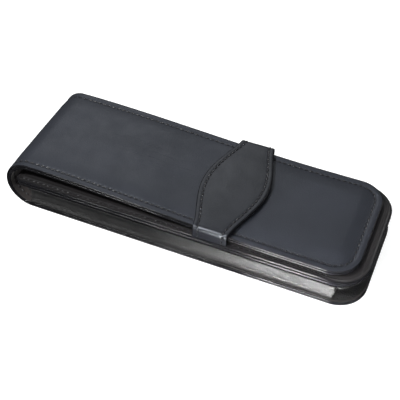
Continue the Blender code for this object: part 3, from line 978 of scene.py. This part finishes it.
def band_profile(v, depth):
    """(y, z) of the band at v along it, from its middle over one edge and down."""
    side = 1 if v >= 0 else -1
    v = abs(v)
    sag = BAND_SAG * min(v / BAND_FLAT, 1.0) ** 3
    if v <= BAND_FLAT:
        return side * v, BAND_TOP - sag - depth
    turn = v - BAND_FLAT
    if turn <= BAND_ARC:
        a = turn / BAND_BEND
        r = BAND_BEND - depth
        return (side * (BAND_FLAT + r * math.sin(a)),
                BAND_TOP - BAND_BEND - sag + r * math.cos(a))
    down = turn - BAND_ARC
    return side * (BAND_SPAN - depth), BAND_TOP - BAND_BEND - sag - down


def band_half(v):
    """Half the band's width at v along it: a barrel, widest in the middle."""
    y = min(abs(v), BAND_SPAN)
    phase = y / BAND_SPAN * math.pi / 2
    return BAND_HALF_END + (BAND_HALF_MIDDLE - BAND_HALF_END) * math.cos(phase) ** 1.5


def band_lift(x, v):
    """The band is crowned across its width, and its right edge lies higher than its left."""
    u = (x - BAND_X) / BAND_HALF_MIDDLE
    lift = BAND_TILT * u * smooth(0.2, 1.0, abs(u)) - BAND_CROWN * u * u
    return lift * smooth(BAND_SPAN + 2, BAND_SPAN - 6, abs(v))


def band_relief(v, x, inset):
    dip = stitch_dip(inset, v, BAND_STITCH, BAND_DIP, BAND_DIP_WIDTH)
    channel = 0.04 * bell(inset, BAND_STITCH, 1.2)
    return dip - channel + 0.10 * bell(inset, 1.1, 0.6) + 0.03 * wobble(x, v, 2.0, 8.0, 9.2)


def band():
    reach = BAND_FLAT + BAND_ARC + BAND_DOWN - BAND_SHORT
    rings = ply_rings(BAND_MARGIN, BAND_EDGE_ROUND)
    for layer, (top, bottom), relief in (("outer", BAND_OUTER, band_relief),
                                         ("lining", BAND_INNER, no_relief)):
        def place(v, across, inset, ring, top=top, bottom=bottom, relief=relief):
            v -= reach
            depth = ring_depth(ring, top, bottom, relief, no_relief, v, across, inset)
            x = BAND_X + across
            y, z = band_profile(v, depth)
            return (x, y, z + band_lift(x, v))

        look = [BAND_LEATHER, EDGE, LINING] if layer == "outer" else INNER_LOOK
        item = plate(f"band_{layer}_leather", place, 0.0, 2 * reach, lambda u: band_half(u - reach),
                     0, 0, rings, BAND_STATION, look, across=BAND_ACROSS)
        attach(item, "root")
        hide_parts(f"band_{layer}")

    def surface(v, across, lift):
        v -= reach
        y, z = band_profile(v, -lift - band_relief(v, across, BAND_STITCH))
        return (BAND_X + across, y, z + band_lift(BAND_X + across, v))

    rows = stitch_path(0.0, 2 * reach, lambda u: band_half(u - reach), 0, BAND_STITCH)
    for row, node in zip(rows, ("left", "right")):
        item = stitches_object(f"band_stitches_{node}", [row], surface, THREAD)
        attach(item, "root")
        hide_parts(f"band_thread_{node}")


# Camera, floor and light. The camera's angles are in degrees and its lengths in mm; the lights'
# places and sizes are in metres, their power in watts and their spread in degrees.

CAMERA_AZIMUTH = 22.96
CAMERA_ELEVATION = 46.10
CAMERA_ROLL = 0.21
CAMERA_DISTANCE = 356.8
CAMERA_TARGET = (2.6, -5.7, 11.0)
CAMERA_LENS = 73.47
FLOOR_HALF = 3000
FLOOR_Z = -0.02
# Each light: name, position, target, size, power and spread
LIGHTS = (("back", (-0.34, 0.56, 0.64), (0.0, 0.0, 0.02), (0.55, 0.36), 1.56, 180),
          ("key", (-0.22, -0.36, 0.68), (0.01, -0.02, 0.02), (0.10, 0.05), 7.6, 180),
          ("key_left", (-0.33, -0.36, 0.66), (-0.06, -0.02, 0.02), (0.12, 0.05), 3.0, 180),
          ("fill", (-0.08, -0.50, 0.13), (0.0, -0.02, 0.012), (0.40, 0.022), 0.40, 180),
          ("kicker", (0.02, -0.33, 0.03), (0.074, -0.03, 0.007), (0.08, 0.04), 0.15, 22),
          ("rim", (0.42, 0.37, 0.17), (0.08, 0.0, 0.015), (0.25, 0.05), 0.06, 60),
          ("front_high", (0.42, -0.62, 0.66), (0.0, 0.0, 0.01), (0.5, 0.3), 1.2, 180))
SKY_BELOW = 0.08            # strength of the sky below the horizon
SKY_ABOVE = 0.24            # and above it
SKY_FADE = (-0.25, 0.35)    # upward parts of the direction between which it changes


def aim(item, position, target, roll=0.0):
    """Point a camera or light at a target, with its upper side up."""
    back = (Vector(position) - Vector(target)).normalized()
    right = Vector((0, 0, 1)).cross(back).normalized()
    up = back.cross(right)
    turned_right = right * math.cos(roll) + up * math.sin(roll)
    turned_up = up * math.cos(roll) - right * math.sin(roll)
    matrix = Matrix((turned_right, turned_up, back)).transposed().to_4x4()
    matrix.translation = Vector(position)
    item.matrix_world = matrix


def camera():
    azimuth, elevation = math.radians(CAMERA_AZIMUTH), math.radians(CAMERA_ELEVATION)
    distance = CAMERA_DISTANCE * MM
    target = Vector(CAMERA_TARGET) * MM
    back = Vector((math.sin(azimuth) * math.cos(elevation), -math.cos(azimuth) * math.cos(elevation),
                   math.sin(elevation)))
    data = bpy.data.cameras.new("camera")
    data.lens = CAMERA_LENS
    data.sensor_width = 36.0
    data.clip_start = 0.01
    item = bpy.data.objects.new("camera", data)
    bpy.context.scene.collection.objects.link(item)
    aim(item, target + back * distance, target, math.radians(CAMERA_ROLL))
    bpy.context.scene.camera = item


def softbox(name, position, target, size, power, spread):
    data = bpy.data.lights.new(name, "AREA")
    data.shape = "RECTANGLE"
    data.size, data.size_y = size
    data.energy = power
    data.spread = math.radians(spread)
    item = bpy.data.objects.new(name, data)
    bpy.context.scene.collection.objects.link(item)
    aim(item, position, target)


def sky():
    """A pale, slightly blue surround, dimmer below the horizon than above it."""
    world = bpy.data.worlds.new("studio")
    world.use_nodes = True
    nodes = world.node_tree.nodes
    links = world.node_tree.links
    direction = nodes.new("ShaderNodeTexCoord")
    parts = nodes.new("ShaderNodeSeparateXYZ")
    rise = nodes.new("ShaderNodeMapRange")
    links.new(direction.outputs["Generated"], parts.inputs["Vector"])
    links.new(parts.outputs["Z"], rise.inputs["Value"])
    rise.interpolation_type = "SMOOTHSTEP"
    rise.inputs["From Min"].default_value = SKY_FADE[0]
    rise.inputs["From Max"].default_value = SKY_FADE[1]
    rise.inputs["To Min"].default_value = SKY_BELOW
    rise.inputs["To Max"].default_value = SKY_ABOVE
    background = nodes["Background"]
    background.inputs["Color"].default_value = (0.95, 0.975, 1.0, 1.0)
    links.new(rise.outputs["Result"], background.inputs["Strength"])
    bpy.context.scene.world = world


def studio():
    corners = [(x * FLOOR_HALF, y * FLOOR_HALF, FLOOR_Z) for x, y in ((-1, -1), (1, -1), (1, 1), (-1, 1))]
    floor = mesh_object("floor", corners, [(0, 1, 2, 3)], [floor_material()])
    floor.visible_glossy = False
    sky()
    for light in LIGHTS:
        softbox(*light)
    bpy.context.scene.view_settings.view_transform = "Standard"


wrap_panels()
fold_strips()
wrap_stitches()
front_panel()
gusset()
band()
frame["nodes"]["divider"].data.materials.clear()
frame["nodes"]["divider"].data.materials.append(LINING)
camera()
studio()
